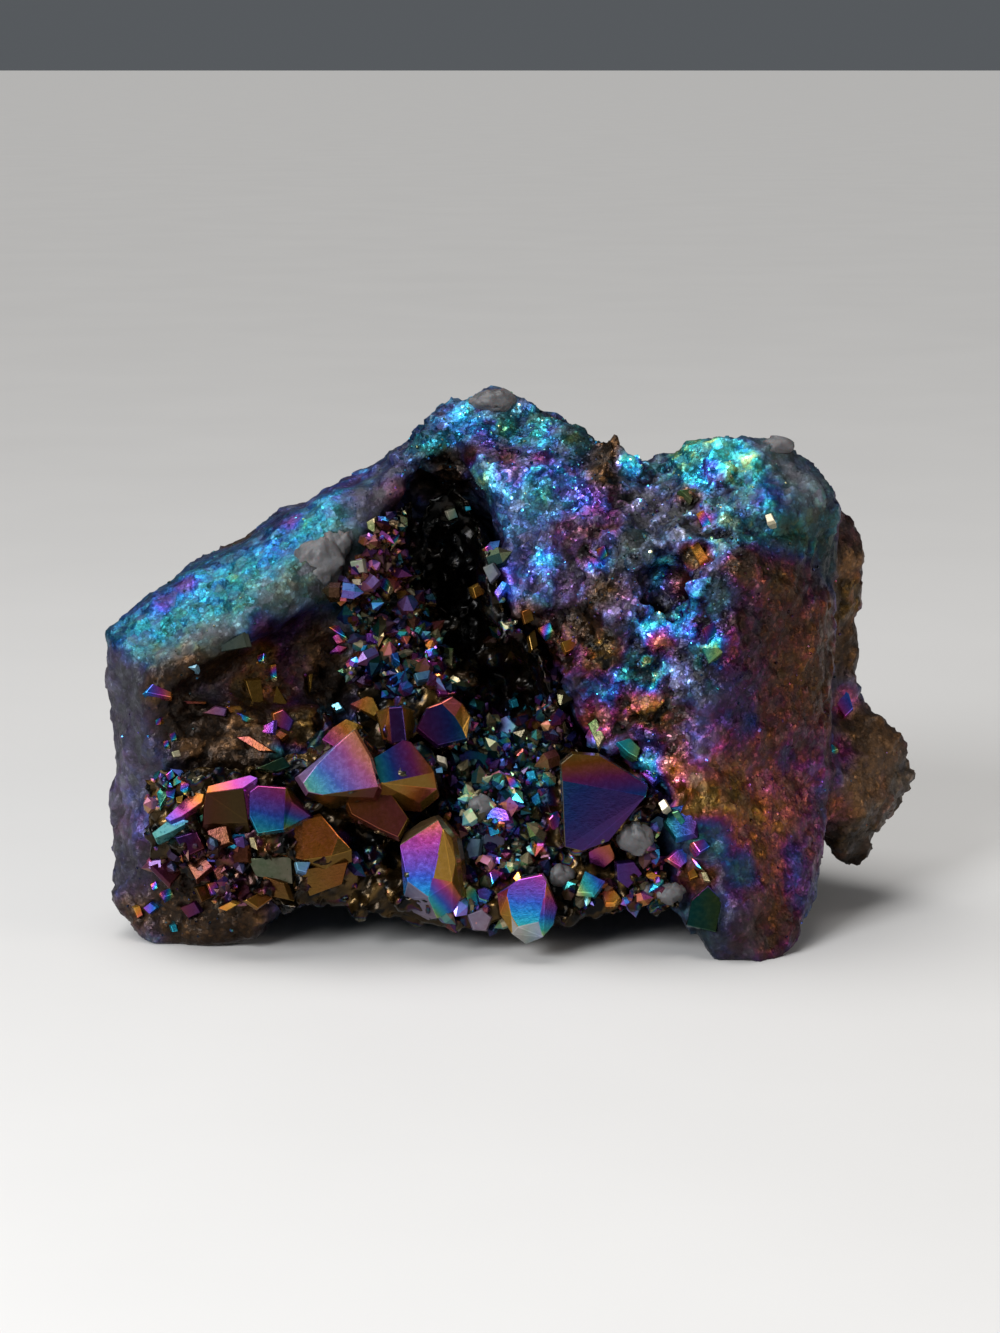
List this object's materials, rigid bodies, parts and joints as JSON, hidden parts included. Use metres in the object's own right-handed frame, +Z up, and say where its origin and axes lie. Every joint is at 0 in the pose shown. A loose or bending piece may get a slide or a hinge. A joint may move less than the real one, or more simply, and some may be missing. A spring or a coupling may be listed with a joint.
{
  "type": "rainbow aura quartz specimen",
  "caption": "Broken piece of a quartz geode with a rainbow metallic coating: a massive granular wall round an open hollow lined with pointed crystals",
  "frame": {"origin": "the middle of the specimen's box, on the plane it rests on", "axes": "+X to the right along the length, -Y to the front where the hollow opens, +Z up"},
  "size_m": [0.0904, 0.0484, 0.058],
  "materials": {
    "coated_wall": "granular quartz with a thin rainbow metal coating",
    "coated_crystals": "glossy crystal faces with a thin rainbow metal coating"
  },
  "bodies": {
    "root": {"quartz_wall": "coated_wall", "crystal_crust": "coated_crystals"}
  },
  "joints": []
}
